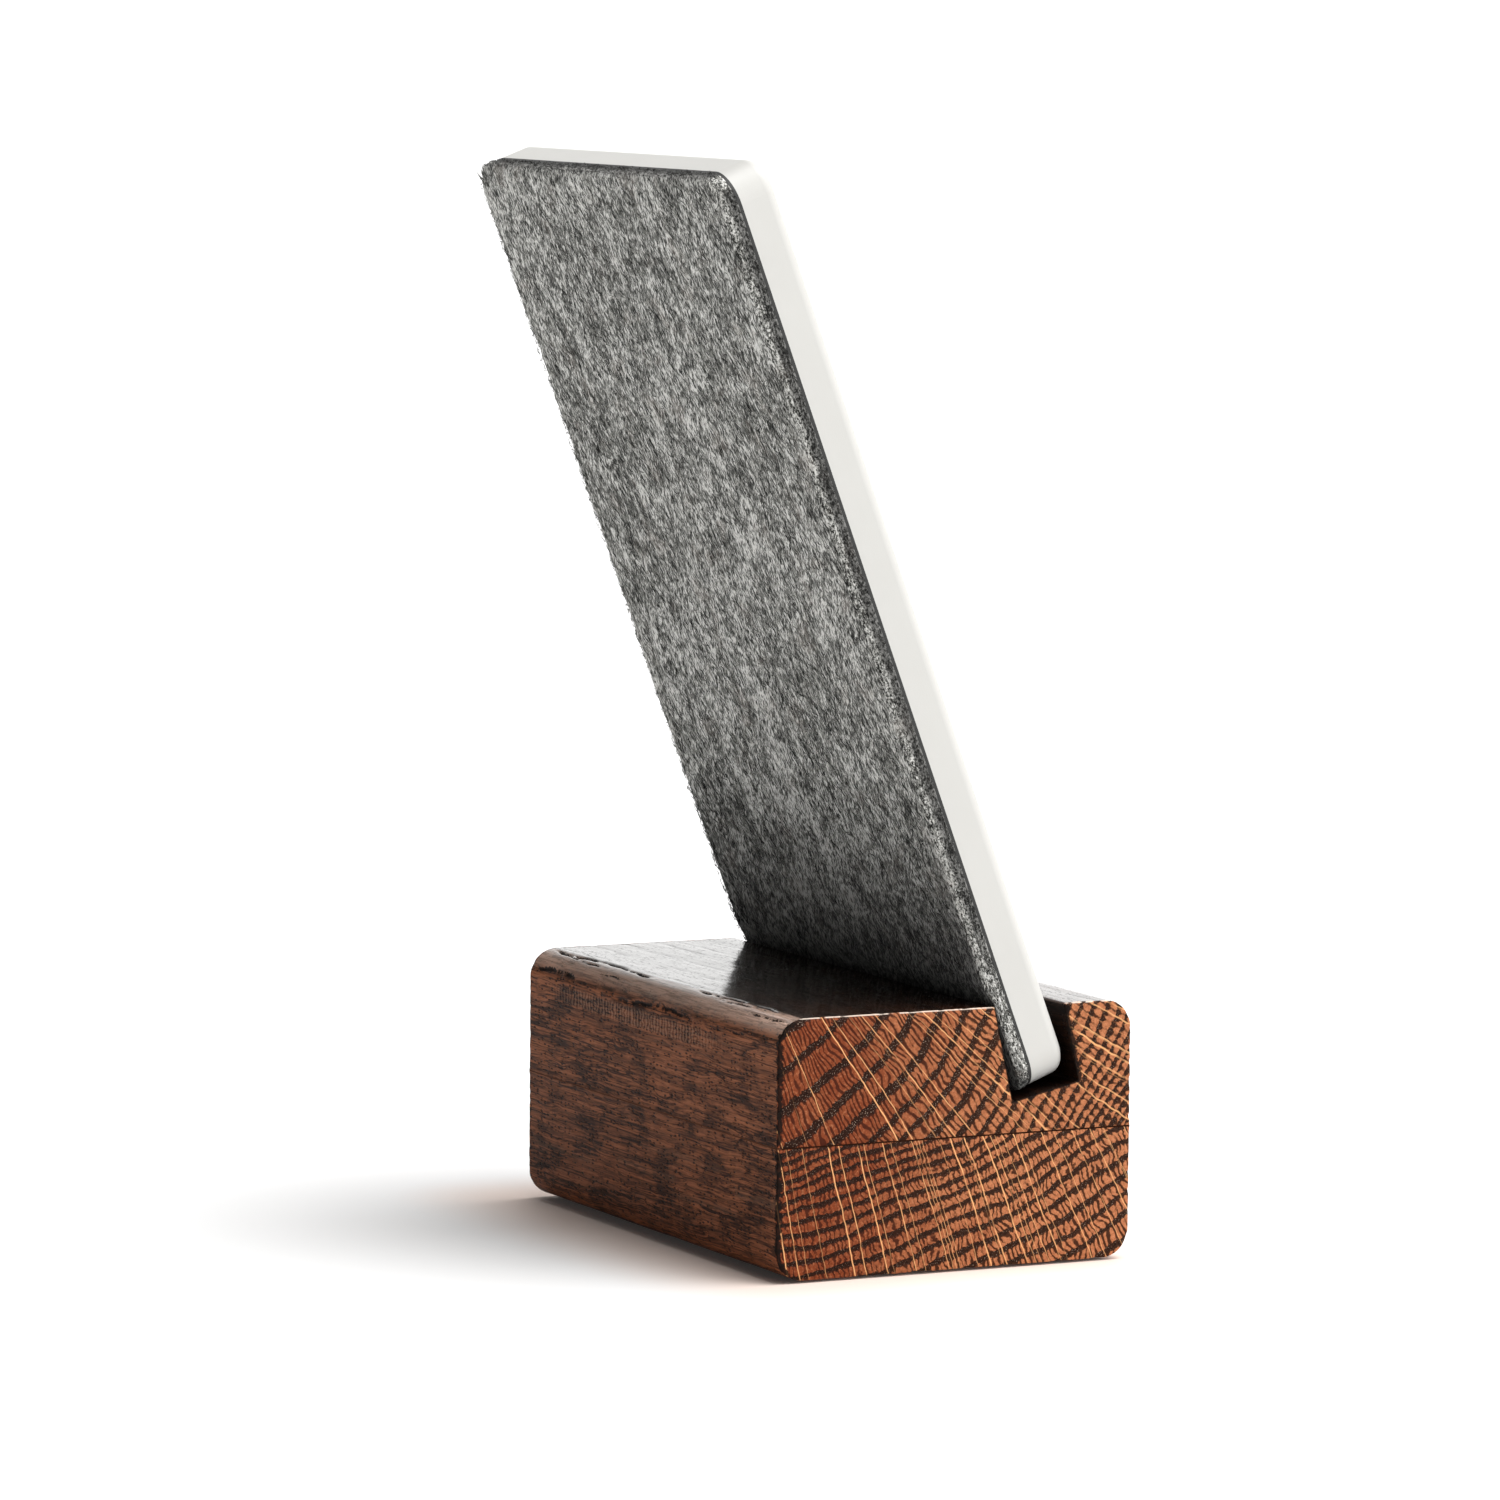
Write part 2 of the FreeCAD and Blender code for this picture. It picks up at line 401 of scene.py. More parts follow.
def long_grain(s):
    """The colour along the grain: streaks, dark wavy lines and smoky patches."""
    x, y, z = s.x, s.y, s.z
    s.roll = s.swing(s.point(s.mul(x, 0.10), s.mul(y, 0.25), s.mul(z, 0.25)), 1.5, 1.0, 2.0)
    s.rolled_y = s.add(y, s.add(s.roll, s.seed))
    s.rolled_z = s.add(z, s.roll)
    streak = s.noise(s.point(s.mul(x, 0.030), s.rolled_y, s.rolled_z), 1.9, 5.0, 0.78)
    thread = s.noise(s.point(s.mul(x, 0.026), s.rolled_y, s.rolled_z), 3.4, 3.0, 0.75)
    s.grain = s.add(s.mul(streak, 0.5), s.mul(thread, 0.5))
    wavy_at = s.point(s.mul(x, 0.036), s.add(s.rolled_y, 5.0), s.rolled_z)
    line = s.step(s.absolute(s.sub(s.noise(wavy_at, 0.85, 2.0, 0.6), 0.5)), 0.038, 0.010)
    shown = s.noise(s.point(s.mul(x, 0.10), y, s.add(z, s.seed)), 0.26, 2.0)
    line = s.mul(line, s.step(shown, 0.44, 0.52))
    cloud = s.noise(s.point(s.mul(x, 0.7), y, s.add(z, s.seed)), 0.13, 4.0, 0.68)
    s.smoke = s.step(cloud, 0.49, 0.61)
    sooty = s.mul(s.smoke, s.add(0.34, s.mul(s.step(thread, 0.58, 0.46), 0.40)))
    colour = s.mix(s.step(s.grain, 0.37, 0.60), SIDE_DARK, SIDE_PALE)
    colour = s.mix(s.mul(line, 0.80), colour, LINE_BLACK)
    colour = s.mix(sooty, colour, SOOT)
    return s.mix(s.mul(s.early, 0.30), colour, SIDE_EARLY)


def ray_ladder(s, colour):
    """Rays cut near their edge on the back: a ladder of fine upright ticks high on the face."""
    x, y, z = s.x, s.y, s.z
    ripple = s.mul(s.noise(s.point(s.mul(x, 0.6), y, z), 1.0, 2.0), 1.6)
    rung = s.calc("SINE", s.mul(s.add(s.mul(x, 0.98), ripple), 2.0 * math.pi))
    rise = s.add(s.sub(z, s.add(33.9, s.mul(x, 0.012))), s.mul(s.roll, 0.35))
    ladder = s.mul(s.step(s.absolute(rise), 1.7, 0.9), s.step(y, 20.0, 22.0))
    ladder = s.mul(ladder, s.mul(s.step(x, -30.0, -12.0), s.step(x, 40.0, 24.0)))
    colour = s.mix(s.mul(s.mul(ladder, s.step(rung, -0.2, 0.9)), 0.50), colour, RUNG_PALE)
    colour = s.mix(s.mul(s.mul(ladder, s.step(rung, -0.1, -0.9)), 0.55), colour, RUNG_DARK)
    return s.mix(s.mul(s.rays, 0.20), colour, SIDE_RAY)


def open_pores(s, side):
    """Short dark dashes along the grain, thickest in the smoky patches, and a few small pits."""
    pore_gap, _, pore_colour = s.cells(s.point(s.mul(s.x, 0.34), s.rolled_y, s.rolled_z), 2.3)
    pore_kind, _, _ = s.split(pore_colour)
    rare = s.add(0.52, s.mul(s.smoke, -0.34))
    dash = s.mul(s.step(pore_gap, 0.42, 0.22), s.step(pore_kind, rare, s.add(rare, 0.10)))
    pit_gap, _, pit_colour = s.cells(s.point(s.mul(s.x, 0.12), s.add(s.y, s.seed), s.z), 1.5)
    pit_kind, _, _ = s.split(pit_colour)
    pit = s.mul(s.step(pit_gap, 0.22, 0.10), s.step(pit_kind, 0.55, 0.7))
    return s.mul(s.largest(dash, pit), side)


def inside_slot(s):
    """1 on the slot's walls and floor, 0 elsewhere."""
    from_edge = s.sub(SLOT_EDGE_Y, s.y)
    below = s.sub(BLOCK_TOP, s.z)
    deep = s.add(s.mul(from_edge, math.sin(SLOT_TILT)), s.mul(below, math.cos(SLOT_TILT)))
    wide = s.sub(s.mul(from_edge, math.cos(SLOT_TILT)), s.mul(below, math.sin(SLOT_TILT)))
    inside = s.mul(s.step(wide, -0.30, -0.12), s.step(wide, SLOT_WIDTH + 0.30, SLOT_WIDTH + 0.12))
    under_top = s.step(s.z, BLOCK_TOP - 0.05, BLOCK_TOP - 0.5)
    return s.mul(inside, s.mul(s.step(deep, SLOT_DEPTH + 0.30, SLOT_DEPTH + 0.12), under_top))


def crack_and_arris_shade(s):
    """Painted shade in the cracks and on the broken arrises: the mesh's wear mask, with a torn outline."""
    wear = s.attribute("wear")
    torn = s.swing(s.point(s.mul(s.x, 1.2), s.y, s.z), 1.9, 1.5, 3.0, 0.65)
    return s.mul(s.step(s.add(wear, torn), 0.25, 0.60), s.step(wear, 0.02, 0.12))


def oak(name, board):
    """One board's oak, with painted shade on its top face, in its slot and on its cracks and broken
    arrises, a painted sheen on its rounding and a painted highlight on its end's top arris.
    """
    s = Oak(name, board)
    x, y, z = s.x, s.y, s.z
    add_rings(s)
    add_pores(s)
    add_flames(s)
    add_rays(s)
    end = s.step(s.absolute(x), BLOCK_END - 0.45, BLOCK_END - 0.20)
    side = s.sub(1.0, end)
    top = s.step(z, BLOCK_TOP - 1.1, BLOCK_TOP - 0.1)
    side_colour = ray_ladder(s, long_grain(s))
    long_pore = open_pores(s, side)
    side_colour = s.mix(s.mul(long_pore, 0.85), side_colour, DASH_BLACK)

    # the top back rounding, with a painted sheen pale on its upper part, and the top face, darkened to a
    # seventh as painted shade
    painted_sheen = s.mul(s.step(y, 18.6, 20.4), s.step(z, 36.6, 39.2))
    painted_sheen = s.mul(painted_sheen, s.add(0.55, s.mul(s.step(s.grain, 0.42, 0.56), 0.45)))
    side_colour = s.mix(s.mul(painted_sheen, 0.74), side_colour, PAINTED_SHEEN)
    flat = s.mul(top, s.step(y, 20.6, 19.4))
    # painted shade: the flat top face darkened to a seventh
    side_colour = s.scale_colour(side_colour, s.sub(1.0, s.mul(flat, 0.86)))

    # painted shade in the slot, near black, and on the cracks and broken arrises, near black; a painted
    # highlight on the sawn end's top arris
    in_slot = inside_slot(s)
    # painted shade in the cracks and on the broken arrises
    crack_shade = crack_and_arris_shade(s)
    # painted highlight: a thin pale line along the sawn end's top arris
    pale = s.mul(s.step(z, BLOCK_TOP - 0.26, BLOCK_TOP - 0.14),
                 s.step(s.absolute(x), BLOCK_END - 0.22, BLOCK_END - 0.12))
    pale = s.mul(pale, s.step(s.noise(s.point(x, y, z), 0.55, 2.0), 0.38, 0.50))
    colour = s.mix(end, side_colour, sawn_end(s))
    # painted shade in the slot
    colour = s.scale_colour(colour, s.sub(1.0, s.mul(in_slot, 0.95)))
    colour = s.mix(s.mul(crack_shade, 0.94), colour, CRACK_SHADE_BLACK)
    s.set(Base_Color=s.mix(s.mul(pale, 0.8), colour, ARRIS_HIGHLIGHT_PAINT))

    fine = s.noise(s.point(s.mul(x, 0.1), y, z), 3.0, 2.0)
    s.set(Roughness=s.add(0.48, s.mul(fine, 0.15)), Specular_IOR_Level=0.06)
    gloss = s.add(s.mul(top, 0.90), s.add(0.01, s.mul(painted_sheen, 0.05)))
    gloss = s.mul(gloss, s.sub(1.0, s.mul(s.add(long_pore, s.pores), 0.45)))
    gloss = s.mul(gloss, s.sub(1.0, s.largest(in_slot, crack_shade)))
    s.set(Coat_Weight=s.mul(gloss, s.sub(1.0, s.mul(end, 0.95))), Coat_Roughness=0.10, Coat_IOR=1.5)
    height = s.mul(s.add(s.mul(s.mul(s.add(s.pores, s.mul(s.dark, 0.3)), end), 0.6), long_pore), -1.0)
    height = s.add(height, s.mul(s.mul(s.grain, side), s.sub(0.45, s.mul(flat, 0.27))))
    height = s.add(height, s.mul(s.mul(s.rays, end), 0.10))
    s.bump(height, 0.00014, 0.8)
    return s.material


def glue():
    """The glue line, paler where it squeezed out at the back."""
    s = Shade("glue")
    x, y, z = s.place()
    tone = s.noise(s.point(s.mul(x, 0.3), y, z), 1.5, 3.0)
    squeezed = s.step(y, 23.0, 24.0)
    colour = s.mix(tone, (0.008, 0.003, 0.001), (0.030, 0.009, 0.004))
    colour = s.mix(squeezed, colour, s.mix(tone, (0.040, 0.014, 0.007), (0.145, 0.058, 0.029)))
    s.set(Base_Color=colour, Roughness=s.add(0.70, s.mul(tone, 0.2)), Specular_IOR_Level=0.03)
    s.bump(tone, 0.00005, 0.5)
    return s.material


SLAB_WHITE = ((0.506, 0.500, 0.478), (0.529, 0.523, 0.501))


def white_slab():
    """Warm white with a faint mottle and a few small brown specks."""
    s = Shade("warm_white")
    x, y, z = s.place()
    mottle = s.noise(s.point(x, y, z), 0.12, 3.0)
    fine_noise = s.noise(s.point(x, y, z), 6.0, 2.0)
    speck_gap, _, speck_colour = s.cells(s.point(x, y, z), 0.22)
    speck_kind, _, _ = s.split(speck_colour)
    speck = s.mul(s.step(speck_gap, 0.065, 0.045), s.step(speck_kind, 0.75, 0.8))
    s.set(Base_Color=s.mix(s.mul(speck, 0.8), s.mix(mottle, *SLAB_WHITE), (0.16, 0.10, 0.07)))
    s.set(Roughness=s.add(0.42, s.mul(fine_noise, 0.12)), IOR=1.47)
    s.bump(s.add(fine_noise, s.mul(mottle, 2.0)), 0.00003, 0.5)
    return s.material


def plain_black(name, scale, dark, pale, rough, rough_spread, bump_distance, bump_strength):
    """A near black with a fine tone, for the film and the pads."""
    s = Shade(name)
    x, y, z = s.place()
    tone = s.noise(s.point(x, y, z), scale, 3.0)
    s.set(Base_Color=s.mix(tone, dark, pale), Roughness=s.add(rough, s.mul(tone, rough_spread)))
    s.bump(tone, bump_distance, bump_strength)
    return s.material


# ---- felt: its sizes in mm, then its materials
FELT_LENGTH = 148.5
FELT_PINCHED = 2.1            # thickness in the slot
FELT_SWELL = 0.6              # extra thickness above the slot
FELT_STEP = (15.08, 19.08)    # where along its length it swells
FELT_CORNER = 5.0
CUT_MIDDLE = -0.5             # 0.5 off the felt's own middle, so that of its sides only the near one is cut
FELT_PAINTED_SHADE = (74.0, 33.0)   # painted shade towards the block: up the lean from the row's origin, from palest to darkest
felt_low, felt_high = box_mm("felt_backing")
FELT_HALF = (felt_high[0] - felt_low[0]) / 2.0
FELT_MIDDLE = (felt_low[0] + felt_high[0]) / 2.0
FELT_SEAT = np.array([FELT_MIDDLE, felt_low[1] + FELT_PINCHED * math.cos(LEAN), felt_low[2]])
SEAT_ALONG = float(FELT_SEAT[1]) * math.sin(LEAN) + float(FELT_SEAT[2]) * math.cos(LEAN)
SEAT_DEEP = float(FELT_SEAT[1]) * math.cos(LEAN) - float(FELT_SEAT[2]) * math.sin(LEAN)
AXIS_ACROSS = np.array([1.0, 0.0, 0.0])
AXIS_ALONG = np.array(UP_PANEL)
AXIS_OUT = np.array(OUT_PANEL)


def panel_axes(s, y, z):
    """How far up the lean a point is, and how far out of the felt, from the row's origin."""
    along = s.add(s.mul(y, math.sin(LEAN)), s.mul(z, math.cos(LEAN)))
    deep = s.sub(s.mul(y, math.cos(LEAN)), s.mul(z, math.sin(LEAN)))
    return along, deep


def paint_felt_shade(s, colour, x, along, deep):
    """Painted shade on the felt's back towards the block and on its near cut edge beside the film; its top
    edge is darkened too.
    """
    across = s.absolute(s.sub(x, CUT_MIDDLE))
    back = s.step(across, FELT_HALF, FELT_HALF - 0.5)
    # painted shade on the felt's back, darker towards the block
    colour = s.scale_colour(colour, s.sub(0.74, s.mul(s.mul(s.step(along, *FELT_PAINTED_SHADE), back), 0.50)))
    top = s.step(s.sub(along, SEAT_ALONG + FELT_LENGTH), -0.40, -0.10)
    cut = s.largest(top, s.step(across, FELT_HALF - 0.30, FELT_HALF - 0.05))
    # painted shade on the near cut edge, in the crease beside the film
    by_film = s.step(s.sub(deep, SEAT_DEEP), 0.1, -1.1)
    by_film = s.mul(s.mul(cut, by_film), s.step(s.sub(along, SEAT_ALONG), 10.0, 30.0))
    by_film = s.mul(by_film, 0.78)
    return s.scale_colour(colour, s.mul(s.sub(1.0, by_film), s.sub(1.0, s.mul(top, 0.45))))


def felt(name):
    """Grey wool: short streaks along the panel with mixed lean, over slow cloudy patches."""
    s = Shade(name)
    x, y, z = s.place()
    along, deep = panel_axes(s, y, z)
    bend = s.swing(s.point(x, along, deep), 9.0, 0.09, 2.0)
    streak = 0.0
    for turn, scale in ((0.42, 3.0), (-0.30, 2.6), (0.05, 3.6)):
        skew = s.add(x, s.mul(along, math.tan(turn)))
        at = s.point(s.add(skew, s.mul(bend, 0.35)), s.mul(along, 0.30), deep)
        streak = s.add(streak, s.noise(at, scale, 2.0, 0.6))
    streak = s.mul(streak, 1.0 / 3.0)
    squashed = s.point(x, s.mul(along, 0.7), deep)
    cut = s.step(s.absolute(s.sub(x, CUT_MIDDLE)), FELT_HALF - 0.3, FELT_HALF)
    tone = s.add(streak, s.swing(squashed, 0.26, 0.30, 3.0, 0.65))
    tone = s.add(tone, s.swing(squashed, s.add(0.16, s.mul(cut, 0.30)), 4.2, 2.0, 0.7))
    colour = s.mix(s.step(tone, 0.41, 0.50), (0.016, 0.016, 0.014), (0.27, 0.27, 0.25))
    colour = s.mix(s.step(tone, 0.49, 0.56), colour, (0.95, 0.94, 0.90))
    beige = s.noise(s.point(x, along, deep), 0.16, 2.0)
    colour = s.mix(s.mul(s.step(beige, 0.55, 0.70), 0.20), colour, (0.50, 0.42, 0.37))
    # the felt's colour with its painted shade
    s.set(Base_Color=paint_felt_shade(s, colour, x, along, deep), Roughness=0.95, Specular_IOR_Level=0.12)
    s.set(Sheen_Weight=0.10, Sheen_Roughness=0.6)
    s.bump(streak, 0.0006, 0.6)
    return s.material


def felt_fibre():
    """Single wool fibres, each with its own tone from near black to pale grey."""
    s = Shade("felt_fibre")
    tone = s.attribute("tone")
    x, y, z = s.place()
    along, deep = panel_axes(s, y, z)
    grain = s.noise(s.point(x, y, z), 3.0, 1.0)
    colour = s.mix(s.step(tone, 0.0, 0.55), (0.018, 0.018, 0.016), (0.30, 0.30, 0.28))
    colour = s.mix(s.step(tone, 0.5, 1.0), colour, (0.88, 0.87, 0.82))
    # the same painted shade as on the felt
    colour = paint_felt_shade(s, colour, x, along, deep)
    s.set(Base_Color=s.scale_colour(colour, s.add(0.85, s.mul(grain, 0.3))))
    s.set(Roughness=s.add(0.6, s.mul(grain, 0.2)), Specular_IOR_Level=0.25)
    s.bump(grain, 0.00005, 0.4)
    return s.material


def give(node, material):
    mesh = nodes[node].data
    mesh.materials.clear()
    mesh.materials.append(material)


give("board_glue_line", glue())
give("upright_slab", white_slab())
give("felt_adhesive", plain_black("black_film", 2.0, (0.006, 0.006, 0.006), (0.020, 0.020, 0.019),
                                  0.45, 0.25, 0.00005, 0.5))
pads = plain_black("pad_rubber", 4.0, (0.012, 0.012, 0.012), (0.035, 0.033, 0.031), 0.6, 0.2, 0.00008, 0.6)
for node in nodes:
    if node.startswith("foot_pad_"):
        give(node, pads)

# ---- smooth shading on the CAD nodes' rounded edges
for node in nodes.values():
    node.data.shade_smooth()
    node.data.set_sharp_from_angle(angle=math.radians(30.0))


# ---- the felt sheet, and the fibres that stand off it
def panel_point(across, along, out):
    """Row-frame metres of points in millimetres on the panel; out is backwards from the felt's seat."""
    point = (FELT_SEAT + across[..., None] * AXIS_ACROSS + along[..., None] * AXIS_ALONG
             + out[..., None] * AXIS_OUT)
    return point * MM


def smooth_field(rng, shape, spacing, blur):
    """A random field of deviation 1, blurred by so many millimetres along each axis."""
    spectrum = np.fft.rfft2(rng.standard_normal(shape))
    first = np.fft.fftfreq(shape[0], spacing[0])[:, None] * blur[0]
    second = np.fft.rfftfreq(shape[1], spacing[1])[None, :] * blur[1]
    spectrum *= np.exp(-2.0 * math.pi ** 2 * (first ** 2 + second ** 2))
    field = np.fft.irfft2(spectrum, shape)
    return field / field.std()


def rounded(across, along):
    """Pulls a rectangle's corners in to the panel's rounded corners."""
    middle = FELT_LENGTH / 2.0
    reach_a = np.maximum(np.abs(across) - (FELT_HALF - FELT_CORNER), 0.0)
    reach_b = np.maximum(np.abs(along - middle) - (middle - FELT_CORNER), 0.0)
    longest = np.maximum(np.hypot(reach_a, reach_b), 1e-9)
    pull = np.maximum(reach_a, reach_b) / longest
    pull = np.where((reach_a > 0) & (reach_b > 0), pull, 1.0)
    new_a = np.sign(across) * (np.abs(across) - reach_a * (1.0 - pull))
    new_b = middle + np.sign(along - middle) * (np.abs(along - middle) - reach_b * (1.0 - pull))
    return new_a, new_b


def felt_back(along):
    """How far out the felt's back face lies."""
    share = np.clip((along - FELT_STEP[0]) / (FELT_STEP[1] - FELT_STEP[0]), 0.0, 1.0)
    return FELT_SWELL * share * share * (3.0 - 2.0 * share)


def link(name, data):
    """A new object in the scene."""
    made = bpy.data.objects.new(name, data)
    bpy.context.scene.collection.objects.link(made)
    return made


def paint(piece, name, values):
    """Gives a piece one number per point, for its material to read."""
    attribute = piece.data.attributes.new(name, "FLOAT", "POINT")
    attribute.data.foreach_set("value", values.astype(np.float32))


def mesh_piece(name, points, faces, material):
    """A smooth-shaded mesh object of its own."""
    mesh = bpy.data.meshes.new(name)
    mesh.from_pydata(points, [], faces)
    mesh.materials.append(material)
    mesh.shade_smooth()
    return link(name, mesh)


def face_outwards(piece):
    """Turns every face's normal outwards."""
    made = bmesh.new()
    made.from_mesh(piece.data)
    bmesh.ops.recalc_face_normals(made, faces=made.faces)
    made.to_mesh(piece.data)
    made.free()


def felt_sheet():
    """The felt: a back with relief, a flat front, and a ragged wall round its cut edge."""
    rng = np.random.default_rng(41)
    count_a, count_b = 190, 172
    a, b = np.meshgrid(np.linspace(-FELT_HALF, FELT_HALF, count_a),
                       np.linspace(0.0, FELT_LENGTH, count_b), indexing="ij")
    spacing = (2.0 * FELT_HALF / (count_a - 1), FELT_LENGTH / (count_b - 1))
    edge = np.minimum.reduce([a + FELT_HALF, FELT_HALF - a, b, FELT_LENGTH - b])
    a, b = rounded(a, b)
    relief = (0.055 * smooth_field(rng, a.shape, spacing, (0.45, 1.1))
              + 0.045 * smooth_field(rng, a.shape, spacing, (1.5, 3.0))
              + 0.050 * smooth_field(rng, a.shape, spacing, (8.0, 12.0)))
    free = np.clip((b - FELT_STEP[0]) / 6.0, 0.0, 1.0)
    back = felt_back(b) - 0.06 + relief * (0.3 + 0.7 * free) - 0.05 * (1.0 - free)
    back -= 0.45 * np.clip(1.0 - edge / 0.9, 0.0, 1.0) ** 2
    front = np.full(a.shape, -FELT_PINCHED + 0.02)
    index = np.arange(a.size).reshape(a.shape)
    faces = []
    for layer, flip in ((index, True), (index + a.size, False)):
        quads = np.stack([layer[:-1, :-1], layer[1:, :-1], layer[1:, 1:], layer[:-1, 1:]], axis=-1)
        faces.append(quads.reshape(-1, 4)[:, ::-1] if flip else quads.reshape(-1, 4))
    loop = np.concatenate([index[:-1, 0], index[-1, :-1], index[:0:-1, -1], index[0, :0:-1]])
    points = [panel_point(a, b, back).reshape(-1, 3), panel_point(a, b, front).reshape(-1, 3)]

    # the cut edge: a slightly bulging, ragged wall between the two faces
    flat_a, flat_b, flat_back = a.ravel()[loop], b.ravel()[loop], back.ravel()[loop]
    run_a = np.roll(flat_a, -1) - np.roll(flat_a, 1)
    run_b = np.roll(flat_b, -1) - np.roll(flat_b, 1)
    run = np.maximum(np.hypot(run_a, run_b), 1e-9)
    walls = 5
    ragged = smooth_field(rng, (len(loop), walls), (0.6, 0.5), (0.5, 0.3))
    rings = [loop]
    for k in range(walls):
        share = (k + 1.0) / (walls + 1.0)
        push = 0.16 * math.sin(math.pi * share) + 0.10 * ragged[:, k] - 0.10
        out = flat_back * (1.0 - share) + (-FELT_PINCHED + 0.02) * share
        ring = panel_point(flat_a + run_b / run * push, flat_b - run_a / run * push, out)
        rings.append(2 * a.size + k * len(loop) + np.arange(len(loop)))
        points.append(ring)
    rings.append(loop + a.size)
    for upper, lower in zip(rings[:-1], rings[1:]):
        walls_here = np.stack([upper, np.roll(upper, -1), np.roll(lower, -1), lower], axis=-1)
        faces.append(walls_here[:, ::-1])
    piece = mesh_piece("felt_sheet", np.concatenate(points), np.concatenate(faces), felt("felt"))
    face_outwards(piece)
    return piece


def edge_fibres(rng, count):
    """Start, middle and tip of fibres that stand off the felt's cut edges, and which to keep."""
    perimeter = rng.uniform(0.0, 2.0 * FELT_HALF + 2.0 * FELT_LENGTH, count)
    on_side = perimeter < 2.0 * FELT_LENGTH
    sign = np.where(rng.random(count) < 0.5, -1.0, 1.0)
    a = np.where(on_side, sign * FELT_HALF, rng.uniform(-FELT_HALF, FELT_HALF, count))
    b = np.where(on_side, rng.uniform(0.0, FELT_LENGTH, count), np.where(sign > 0, FELT_LENGTH, 0.3))
    a, b = rounded(a, b)
    normal_a = np.where(on_side, sign, 0.0)
    normal_b = np.where(on_side, 0.0, np.where(sign > 0, 1.0, -0.2))
    corner_a = np.sign(a) * np.maximum(np.abs(a) - (FELT_HALF - FELT_CORNER), 0.0)
    middle = FELT_LENGTH / 2.0
    corner_b = np.sign(b - middle) * np.maximum(np.abs(b - middle) - (middle - FELT_CORNER), 0.0)
    turn = (np.abs(corner_a) > 0) & (np.abs(corner_b) > 0)
    size = np.maximum(np.hypot(corner_a, corner_b), 1e-9)
    normal_a = np.where(turn, corner_a / size, normal_a)
    normal_b = np.where(turn, corner_b / size, normal_b)
    out = felt_back(b) - rng.random(count) * (felt_back(b) + FELT_PINCHED - 0.25) - 0.15
    heading = rng.uniform(0.0, 2.0 * math.pi, count)
    lift = rng.uniform(0.02, 0.34, count)
    length = rng.uniform(0.4, 1.3, count)
    step_a = length * (np.cos(heading) * -normal_b)
    step_b = length * (np.cos(heading) * normal_a)
    step_out = 0.35 * length * np.sin(heading)
    start = np.stack([a - normal_a * 0.15, b - normal_b * 0.15, out], axis=-1)
    half_way = start + np.stack([step_a * 0.5 + normal_a * (lift + 0.1),
                                 step_b * 0.5 + normal_b * (lift + 0.1), step_out * 0.5], axis=-1)
    tip = start + np.stack([step_a + normal_a * lift * rng.uniform(0.4, 1.3, count),
                            step_b + normal_b * lift * rng.uniform(0.4, 1.3, count), step_out], axis=-1)
    in_slot = b < FELT_STEP[1]
    return start, half_way, tip, ~(in_slot & (np.abs(normal_a) < 0.7))


def back_fibres(rng, count):
    """Start, middle and tip of fibres that lie on the felt's back, and which to keep."""
    a = rng.uniform(-FELT_HALF + 0.2, FELT_HALF - 0.2, count)
    b = rng.uniform(FELT_STEP[1] - 1.0, FELT_LENGTH - 0.3, count)
    a, b = rounded(a, b)
    heading = rng.normal(0.0, 0.42, count) + np.where(rng.random(count) < 0.5, 0.22, -0.15)
    heading += np.where(rng.random(count) < 0.12, rng.uniform(-1.5, 1.5, count), 0.0)
    length = rng.uniform(0.7, 2.4, count) * np.where(rng.random(count) < 0.1, 1.5, 1.0)
    curl = rng.normal(0.0, 0.35, count)
    lift = np.abs(rng.normal(0.0, 0.055, count)) + 0.01
    step = np.stack([np.sin(heading), np.cos(heading)], axis=-1) * length[:, None]
    bow = np.stack([np.cos(heading), -np.sin(heading)], axis=-1) * (curl * length * 0.3)[:, None]
    base = felt_back(b) - 0.09
    start = np.stack([a, b, base - 0.05], axis=-1)
    half_way = start.copy()
    half_way[:, :2] += step * 0.5 + bow
    half_way[:, 2] = base + lift + 0.04
    tip = start.copy()
    tip[:, :2] += step
    tip[:, 2] = base + lift * rng.uniform(0.0, 1.6, count)
    return start, half_way, tip, (np.abs(tip[:, 0]) < FELT_HALF + 0.25) & (tip[:, 1] < FELT_LENGTH + 0.3)


def fibres(name, lay, count, seed, material):
    """Tapered three-sided fibres, each with its own thickness and tone."""
    rng = np.random.default_rng(seed)
    start, half_way, tip, keep = lay(rng, count)
    tone = rng.beta(1.1, 0.9, count)
    thick = rng.uniform(0.035, 0.075, count)
    return strands(name, start[keep], half_way[keep], tip[keep], thick[keep], tone[keep], material)


